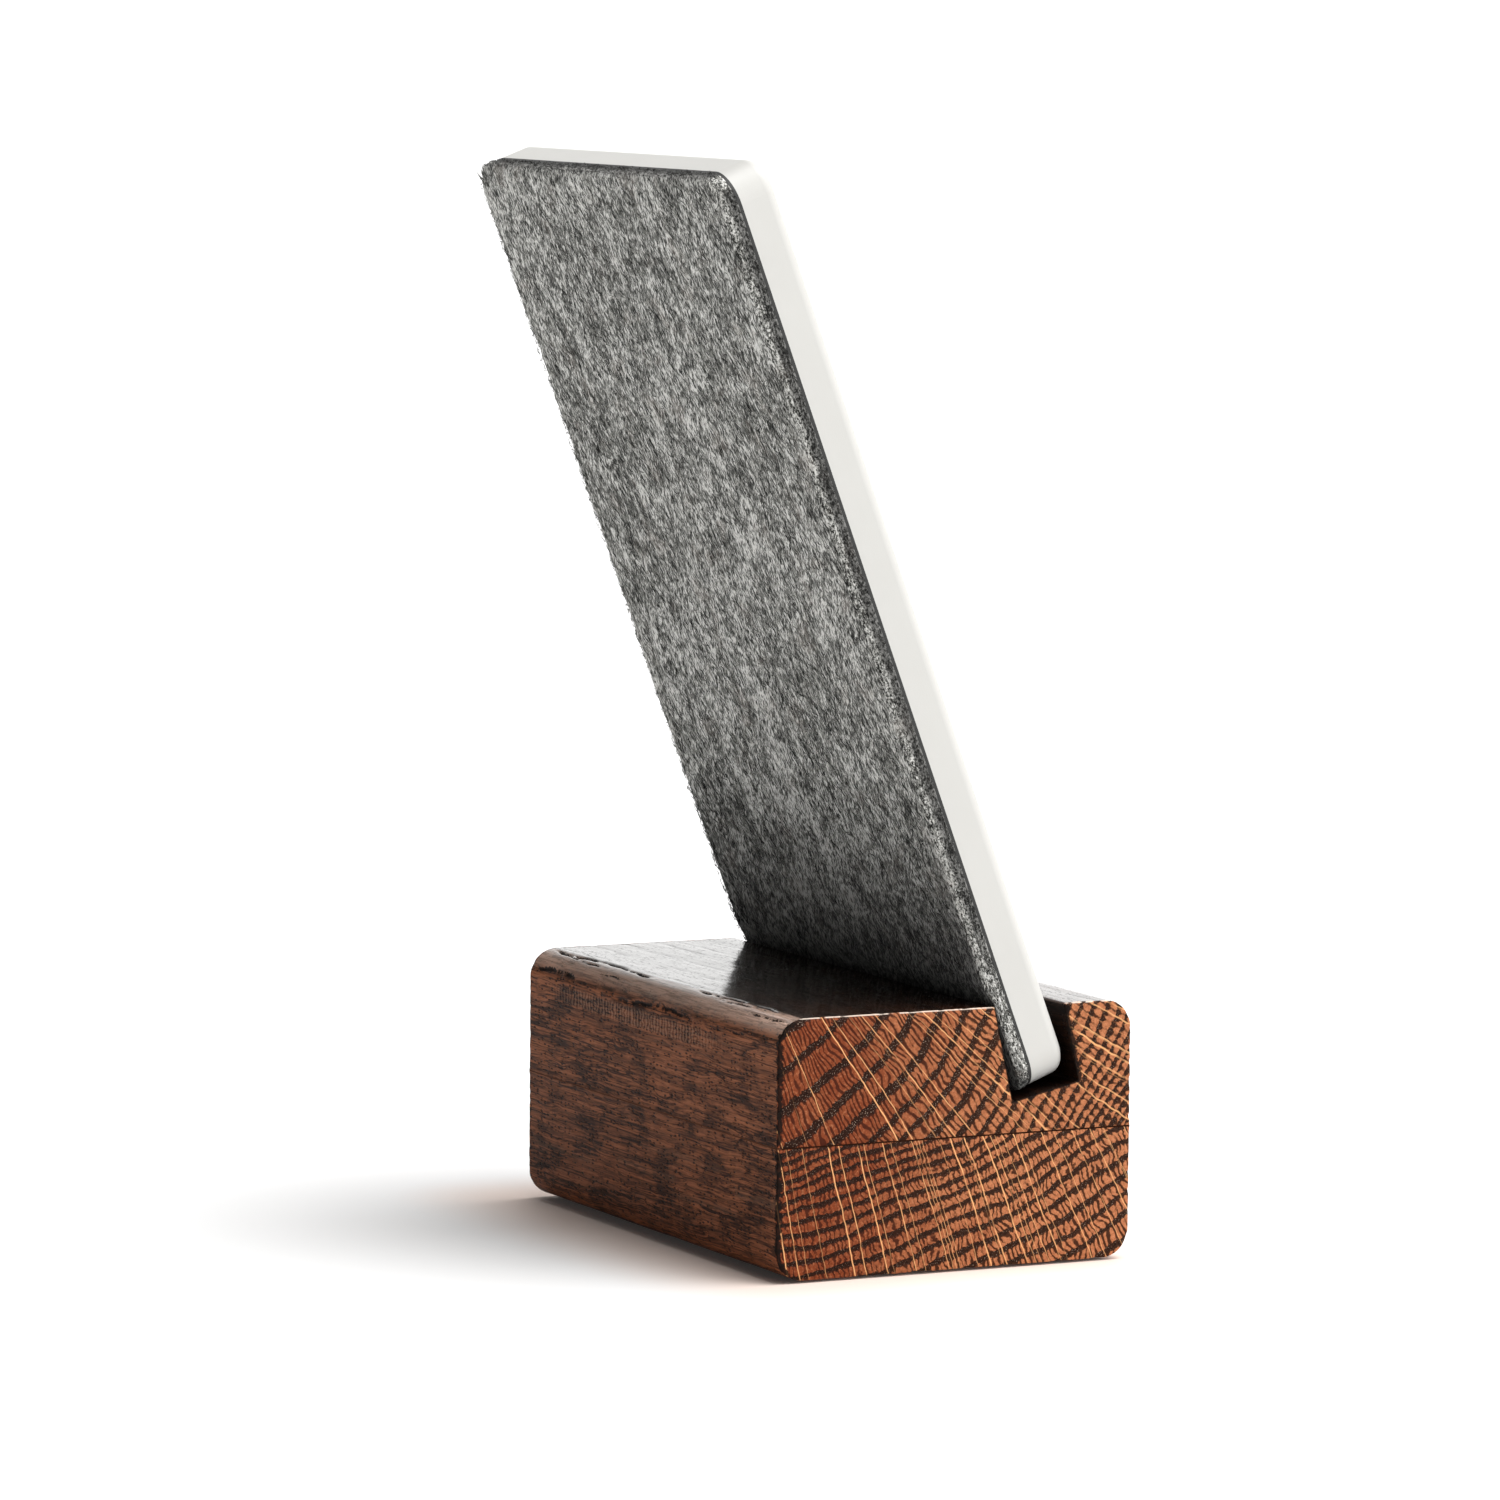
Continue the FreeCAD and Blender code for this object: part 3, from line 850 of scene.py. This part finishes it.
def strands(name, start, middle, tip, thick, tone, material):
    """One mesh of closed three-sided strands through start and middle, pointed at the tip."""
    count = len(start)
    run = tip - start
    run /= np.maximum(np.linalg.norm(run, axis=1), 1e-9)[:, None]
    side = np.cross(run, np.array([0.0, 0.0, 1.0]))
    side /= np.maximum(np.linalg.norm(side, axis=1), 1e-9)[:, None]
    up = np.cross(side, run)
    points = np.zeros((count, 7, 3))
    for k in range(3):
        angle = 2.0 * math.pi * k / 3.0
        around = (side * math.cos(angle) + up * math.sin(angle)) * thick[:, None]
        points[:, k] = start + around
        points[:, 3 + k] = middle + around
    points[:, 6] = tip
    first = np.arange(count)[:, None] * points.shape[1]
    triangles = [(2, 1, 0), (3, 4, 6), (4, 5, 6), (5, 3, 6)]
    for k in range(3):
        after = (k + 1) % 3
        triangles += [(k, after, 3 + after), (k, 3 + after, 3 + k)]
    faces = np.concatenate([first + np.array(t) for t in triangles])
    flat = points.reshape(-1, 3)
    piece = mesh_piece(name, panel_point(flat[:, 0], flat[:, 1], flat[:, 2]), faces, material)
    paint(piece, "tone", np.repeat(tone, points.shape[1]))
    return piece


sheet = felt_sheet()
wool = felt_fibre()
fuzz = [
    fibres("felt_fibres_back", back_fibres, 18000, 7, wool),
    fibres("felt_fibres_edge", edge_fibres, 9000, 19, wool),
]
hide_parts("felt_backing")
for piece in (sheet, *fuzz):
    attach(piece, "upright")


# ---- boards: the CAD outlines swept along the grain, with relief, worn ends and open cracks
LONG_EDGE_RADIUS = 4.5
END_STEPS = (0.0, 0.04, 0.10, 0.18, 0.28, 0.42, 0.65, 1.0, 1.5)   # stations in from a sawn end
GRAIN_STEP = 0.85
CRACKS = (                    # way round the top back rounding, first and last x, width and depth
    (0.7, 6.0, 42.5, 0.22, 0.42),
    (1.7, 22.0, 41.0, 0.13, 0.25),
    (5.3, 27.0, 43.0, 0.30, 0.42),
    (6.2, -16.0, 13.0, 0.24, 0.36),
    (0.5, -39.0, -9.0, 0.20, 0.40),
    (1.3, -34.0, -16.0, 0.14, 0.26),
    (2.4, -43.0, -30.0, 0.14, 0.26),
    (6.8, -34.0, -20.0, 0.12, 0.22),
    (3.6, 12.0, 24.0, 0.10, 0.16),
)


def unit(vector):
    return vector / np.linalg.norm(vector)


def outline(corners):
    """Points round a closed outline of (y, z, radius, step) corners; step is the spacing up to the next."""
    arcs = []
    for i, (y, z, radius, _) in enumerate(corners):
        here = np.array((y, z))
        to_before = unit(np.array(corners[i - 1][:2]) - here)
        to_after = unit(np.array(corners[(i + 1) % len(corners)][:2]) - here)
        if radius == 0.0:
            arcs.append(here[None, :])
            continue
        half = math.acos(to_before @ to_after) / 2.0
        centre = here + unit(to_before + to_after) * radius / math.sin(half)
        start = here + to_before * radius / math.tan(half) - centre
        end = here + to_after * radius / math.tan(half) - centre
        first = math.atan2(start[1], start[0])
        sweep = (math.atan2(end[1], end[0]) - first + math.pi) % (2.0 * math.pi) - math.pi
        count = max(5, int(abs(sweep) * radius / 0.24) + 1)
        angles = first + sweep * np.linspace(0.0, 1.0, count)
        arcs.append(centre + radius * np.stack([np.cos(angles), np.sin(angles)], axis=-1))
    points = []
    for i, arc in enumerate(arcs):
        points.append(arc)
        start, end = arc[-1], arcs[(i + 1) % len(arcs)][0]
        count = max(1, int(np.linalg.norm(end - start) / corners[i][3]))
        points.append(start + (end - start) * np.linspace(0.0, 1.0, count + 1)[1:-1, None])
    return np.concatenate(points)


def hills(rng, x, y, z, scale, count=24):
    """Smooth random relief in space, about -1 to 1; scale is the wavelength along X, Y and Z."""
    total = np.zeros(np.broadcast(x, y, z).shape)
    for _ in range(count):
        way = rng.normal(0.0, 1.0, 3)
        way *= 2.0 * math.pi * rng.uniform(0.5, 1.5) / np.linalg.norm(way)
        phase = rng.uniform(0.0, 2.0 * math.pi)
        total += np.sin(way[0] * x / scale[0] + way[1] * y / scale[1] + way[2] * z / scale[2] + phase)
    return total / math.sqrt(count)


def cap_triangles(ring, spacing):
    """Triangles over an outline, with a grid of points inside: (inner points, triangles)."""
    low, high = ring.min(0), ring.max(0)
    grid_y, grid_z = np.meshgrid(np.arange(low[0], high[0], spacing), np.arange(low[1], high[1], spacing))
    inner = np.stack([grid_y.ravel(), grid_z.ravel()], axis=-1) + spacing / 2.0
    after = np.roll(ring, -1, axis=0)
    y, z = inner[:, :1], inner[:, 1:]
    crosses = (ring[:, 1] > z) != (after[:, 1] > z)
    rise = np.where(after[:, 1] == ring[:, 1], 1e-9, after[:, 1] - ring[:, 1])
    left = y < ring[:, 0] + (z - ring[:, 1]) / rise * (after[:, 0] - ring[:, 0])
    inside = (crosses & left).sum(1) % 2 == 1
    run = after - ring
    share = ((y - ring[:, 0]) * run[:, 0] + (z - ring[:, 1]) * run[:, 1]) / (run ** 2).sum(1)
    share = np.clip(share, 0.0, 1.0)
    away = np.hypot(y - ring[:, 0] - share * run[:, 0], z - ring[:, 1] - share * run[:, 1]).min(1)
    inner = inner[inside & (away > 0.85)]
    points = [Vector(p) for p in np.concatenate([ring, inner])]
    edges = [(i, (i + 1) % len(ring)) for i in range(len(ring))]
    _, _, triangles, from_points, _, _ = delaunay_2d_cdt(points, edges, [], 1, 1e-7)
    origin = [found[0] for found in from_points]
    return inner, np.array([[origin[v] for v in t] for t in triangles])


def board_relief(rng, board, x, y, z):
    """How deep the surface lies below the outline: slow and quick hills, and sunken early wood."""
    early = board.early_wood(x, y, z)
    depth = 0.05 + 0.022 * hills(rng, x, y, z, (30.0, 9.0, 9.0))
    depth = depth + 0.012 * hills(rng, x, y, z, (7.0, 1.3, 1.3))
    return depth + 0.045 * early * np.clip(0.6 + 0.5 * hills(rng, x, y, z, (12.0, 2.0, 2.0)), 0.0, 1.0)


def cut_cracks(depth, wear, x, y, z, corner):
    """Deepens the relief along the open cracks round the top back corner, and marks them in the wear mask,
    which the oak darkens as painted shade.
    """
    back, top = corner
    round_y = back - LONG_EDGE_RADIUS
    round_z = top - LONG_EDGE_RADIUS
    rounding = round(LONG_EDGE_RADIUS * math.pi / 2.0, 3)
    angle = np.arctan2(y - round_y, z - round_z)
    on_back = (y > back - 12.0) & (z > top - 12.0)
    on_side = np.where(y > back - 1e-6, rounding + (round_z - z), angle * LONG_EDGE_RADIUS)
    way = np.where(z > top - 1e-6, y - round_y, on_side)
    for at, first, last, width, deep in CRACKS:
        wander = at + 0.35 * np.sin(0.21 * x + at * 9.0) + 0.10 * np.sin(1.1 * x + at * 5.0)
        taper = np.clip((x - first) / 3.0, 0.0, 1.0) * np.clip((last - x) / 3.0, 0.0, 1.0)
        torn = np.clip(0.90 + 0.45 * np.sin(0.6 * x + at * 3.0) + 0.35 * np.sin(2.3 * x + at), 0.0, 1.0)
        groove = np.exp(-((way - wander) / width) ** 2 / 2.0) * taper * torn * on_back
        depth = depth + deep * groove
        wear = np.maximum(wear, groove)
    return depth, wear


def break_ends(rng, board, x, y, z, half, out_y, off_joint):
    """How far the sawn ends' arrises are broken back, and how much painted shade darkens them. Both are
    most on the back of the near end; out_y is the outline's outward normal in Y.
    """
    from_end = half - np.abs(x)
    near = np.where(x < 0.0, 1.0, 0.35)
    behind = np.clip(out_y * 1.6 - 0.2, 0.0, 1.0)
    end_early = board.early_wood(np.sign(x) * half, y, z)
    end_x = np.sign(x) * 40.0
    crumble = np.clip(0.45 + 0.55 * hills(rng, end_x, y, z, (20.0, 1.6, 1.6)), 0.0, 1.0)
    reach = 0.14 + 0.08 * crumble + near * (0.20 * end_early * crumble + 0.16 * behind * crumble)
    reach = 0.06 + (reach - 0.06) * off_joint
    inset = reach - np.sqrt(np.clip(reach ** 2 - (reach - from_end) ** 2, 0.0, None))
    inset = np.where(from_end < reach, inset, 0.0)
    band = 0.45 + 0.85 * hills(rng, end_x, y, z, (20.0, 1.3, 1.3)) + 0.50 * end_early
    rim = np.clip(1.10 - from_end / np.clip(band, 0.18, 1.9), 0.0, 1.0)
    return inset, rim * (0.95 * behind * near + 0.30 * end_early * crumble * (1.0 - behind))


def board_piece(name, board, corners, joint_z, crack_corner, material):
    """A board: its outline swept in X, pushed only inwards, so that nothing gains on its neighbours."""
    rng = np.random.default_rng(int(board.seed * 10))
    ring = outline(corners)
    run = np.roll(ring, -1, axis=0) - np.roll(ring, 1, axis=0)
    normal = np.stack([run[:, 1], -run[:, 0]], axis=-1)
    normal /= np.linalg.norm(normal, axis=1)[:, None]
    half = 1000.0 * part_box(name.replace("_oak", ""))[1].x
    inner_half = half - 2.1
    inner_x = np.linspace(-half + 2.1, inner_half, int(2.0 * inner_half / GRAIN_STEP))
    stations = np.concatenate([-half + np.array(END_STEPS), inner_x, half - np.array(END_STEPS)[::-1]])

    x = stations[:, None]
    y, z = ring[None, :, 0], ring[None, :, 1]
    off_joint = np.clip((np.abs(z - joint_z) - 0.05) / 0.8, 0.0, 1.0)
    depth = board_relief(rng, board, x, y, z)
    wear = np.zeros(depth.shape)
    if crack_corner:
        depth, wear = cut_cracks(depth, wear, x, y, z, crack_corner)
    inset, end_wear = break_ends(rng, board, x, y, z, half, normal[None, :, 0], off_joint)
    wear = np.maximum(wear, end_wear)
    depth = depth * off_joint * np.clip((half - np.abs(x)) / 0.3, 0.0, 1.0) + inset
    swept_y = y - normal[None, :, 0] * depth
    swept_z = z - normal[None, :, 1] * depth
    sweep = np.stack([np.broadcast_to(x, depth.shape), swept_y, swept_z], axis=-1)

    # the swept sides, then a cap on each sawn end, its early wood a little sunken
    count = len(ring)
    rows = len(stations)
    index = np.arange(rows * count).reshape(rows, count)
    after = np.roll(index, -1, axis=1)
    quads = np.stack([index[:-1], index[1:], after[1:], after[:-1]], axis=-1).reshape(-1, 4)
    inner, triangles = cap_triangles(ring, 0.5)
    cap_y, cap_z = inner[:, 0], inner[:, 1]
    points = [sweep.reshape(-1, 3)]
    tones = [wear.ravel()]
    faces = [tuple(q) for q in quads]
    for end, row in ((-1.0, 0), (1.0, rows - 1)):
        cap_early = board.early_wood(end * half, cap_y, cap_z)
        sunk = 0.02 + 0.03 * cap_early + 0.010 * hills(rng, end * 40.0, cap_y, cap_z, (9, 1.2, 1.2))
        first = sum(len(p) for p in points)
        points.append(np.stack([end * (half - np.clip(sunk, 0.0, None)), cap_y, cap_z], axis=-1))
        tones.append(np.zeros(len(inner)))
        there = np.where(triangles < count, triangles + row * count, triangles - count + first)
        if end > 0:
            there = there[:, ::-1]
        faces += [tuple(t) for t in there]
    piece = mesh_piece(name, np.concatenate(points) * MM, faces, material)
    face_outwards(piece)
    piece.data.set_sharp_from_angle(angle=math.radians(40.0))
    paint(piece, "wear", np.concatenate(tones))
    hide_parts(name.replace("_oak", ""))
    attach(piece, "base")


def boards():
    """Both boards from their CAD boxes, the upper one with its slot. Corners are y, z, radius, step."""
    low, high = box_mm("upper_board")
    front, back, top, joint = low[1], high[1], high[2], low[2]
    edge = back - SLOT_REAR_EDGE
    tilt = np.array([math.sin(SLOT_TILT), math.cos(SLOT_TILT)])
    rear_root = np.array([edge, top]) - SLOT_DEPTH * tilt
    front_root = rear_root + SLOT_WIDTH * np.array([-math.cos(SLOT_TILT), math.sin(SLOT_TILT)])
    front_lip = edge - SLOT_WIDTH / math.cos(SLOT_TILT)
    board_piece("upper_board_oak", UPPER, [
        (front, joint, 0.0, 4.0),
        (back, joint, 0.0, 0.38),
        (back, top, LONG_EDGE_RADIUS, 0.38),
        (edge, top, 0.4, 0.55),
        (*rear_root, 0.5, 0.55),
        (*front_root, 0.5, 0.55),
        (front_lip, top, 0.4, 0.38),
        (front, top, LONG_EDGE_RADIUS, 0.38),
    ], joint, (back, top), oak("oak_upper", UPPER))
    low, high = box_mm("lower_board")
    front, back, bottom, joint = low[1], high[1], low[2], high[2]
    board_piece("lower_board_oak", LOWER, [
        (front, bottom, LONG_EDGE_RADIUS, 0.6),
        (back, bottom, LONG_EDGE_RADIUS, 0.38),
        (back, joint, 0.0, 4.0),
        (front, joint, 0.0, 0.38),
    ], joint, None, oak("oak_lower", LOWER))


boards()


# ---- floor, with a painted warm tint round the block that stands in for light off its wood
FLOOR_REACH = 30.0            # metres each way
FLOOR_WHITE = ((0.80, 0.80, 0.80), (0.82, 0.82, 0.82))
FLOOR_BOUNCE_TINT = (0.82, 0.69, 0.62)
TINT_REACH = 24.0             # mm out from the block's outline
TINT_MIDDLE_Y = -5.9          # the outline's middle and half depth, in mm
TINT_HALF_DEPTH = 30.0


def floor():
    """The white floor, which is staging."""
    far = FLOOR_REACH
    corners = [(-far, -far, 0), (far, -far, 0), (far, far, 0), (-far, far, 0)]
    s = Shade("floor_white")
    x, y, z = s.place()
    over_x = s.largest(s.sub(s.absolute(x), BLOCK_END), 0.0)
    over_y = s.largest(s.sub(s.absolute(s.sub(y, TINT_MIDDLE_Y)), TINT_HALF_DEPTH), 0.0)
    away = s.calc("SQRT", s.add(s.mul(over_x, over_x), s.mul(over_y, over_y)))
    white = s.mix(s.noise(s.point(x, y, z), 0.01, 2.0), *FLOOR_WHITE)
    # a painted warm tint near the block, standing in for light off its wood
    s.set(Base_Color=s.mix(s.step(away, TINT_REACH, 0.0), white, FLOOR_BOUNCE_TINT), Roughness=0.75)
    s.set(Specular_IOR_Level=0.2, Emission_Color=(1.0, 1.0, 1.0, 1.0), Emission_Strength=0.02)
    mesh_piece("floor", corners, [(0, 1, 2, 3)], s.material)


floor()


# ---- light
DOME_FRONT = 0.30
DOME_BACK = 0.02
LOBES = (                     # direction, power, strength
    ((0.92, -0.38, 0.12), 7.0, 1.38),
    ((-0.85, -0.52, 0.34), 6.0, 3.30),
    ((-0.10, -0.50, 1.00), 6.0, 1.15),
)


def world():
    """A pale dome on the front side, brightest low down behind the object, and dark on the back's side."""
    made = bpy.data.worlds.new("studio")
    bpy.context.scene.world = made
    made.use_nodes = True
    n = Nodes(made.node_tree)
    coord = n.make("TexCoord")

    def towards(direction):
        node = n.make("VectorMath")
        node.operation = "DOT_PRODUCT"
        node.inputs[1].default_value = Vector(direction).normalized()
        n.feed(node.inputs[0], coord.outputs["Generated"])
        return node.outputs["Value"]

    front = n.make("MapRange", Value=towards((0.0, -1.0, 0.0)), From_Min=-0.25, From_Max=0.35,
                   To_Min=DOME_BACK, To_Max=DOME_FRONT)
    front.interpolation_type = "SMOOTHSTEP"
    total = front.outputs["Result"]
    for direction, power, strength in LOBES:
        lobe = n.power(n.largest(towards(direction), 0.0), power)
        total = n.add(total, n.mul(lobe, strength))
    background = n.nodes["Background"]
    n.feed(background.inputs["Strength"], total)
    background.inputs["Color"].default_value = (1.0, 0.995, 0.985, 1.0)


def sun(name, towards, strength, angle):
    """A soft sun; towards is the direction from the object to the light."""
    data = bpy.data.lights.new(name, "SUN")
    data.energy = strength
    data.angle = math.radians(angle)
    lamp = link(name, data)
    lamp.rotation_mode = "QUATERNION"
    lamp.rotation_quaternion = Vector(towards).to_track_quat("Z", "Y")


world()
sun("key", (-0.16, -0.21, 1.00), 2.95, 39.0)


# ---- camera
def camera():
    """The camera, set by its place and two directions, made square to each other."""
    data = bpy.data.cameras.new("camera")
    data.sensor_width = 36.0
    data.lens = CAMERA_LENS
    data.clip_start = 0.05
    data.clip_end = 200.0
    made = link("camera", data)
    right = Vector(CAMERA_RIGHT).normalized()
    back = -Vector(CAMERA_FORWARD).normalized()
    up = back.cross(right).normalized()
    right = up.cross(back)
    turn = Matrix((right, up, back)).transposed().to_4x4()
    made.matrix_world = Matrix.Translation(CAMERA_PLACE) @ turn
    bpy.context.scene.camera = made


camera()
bpy.context.scene.view_settings.view_transform = "Standard"
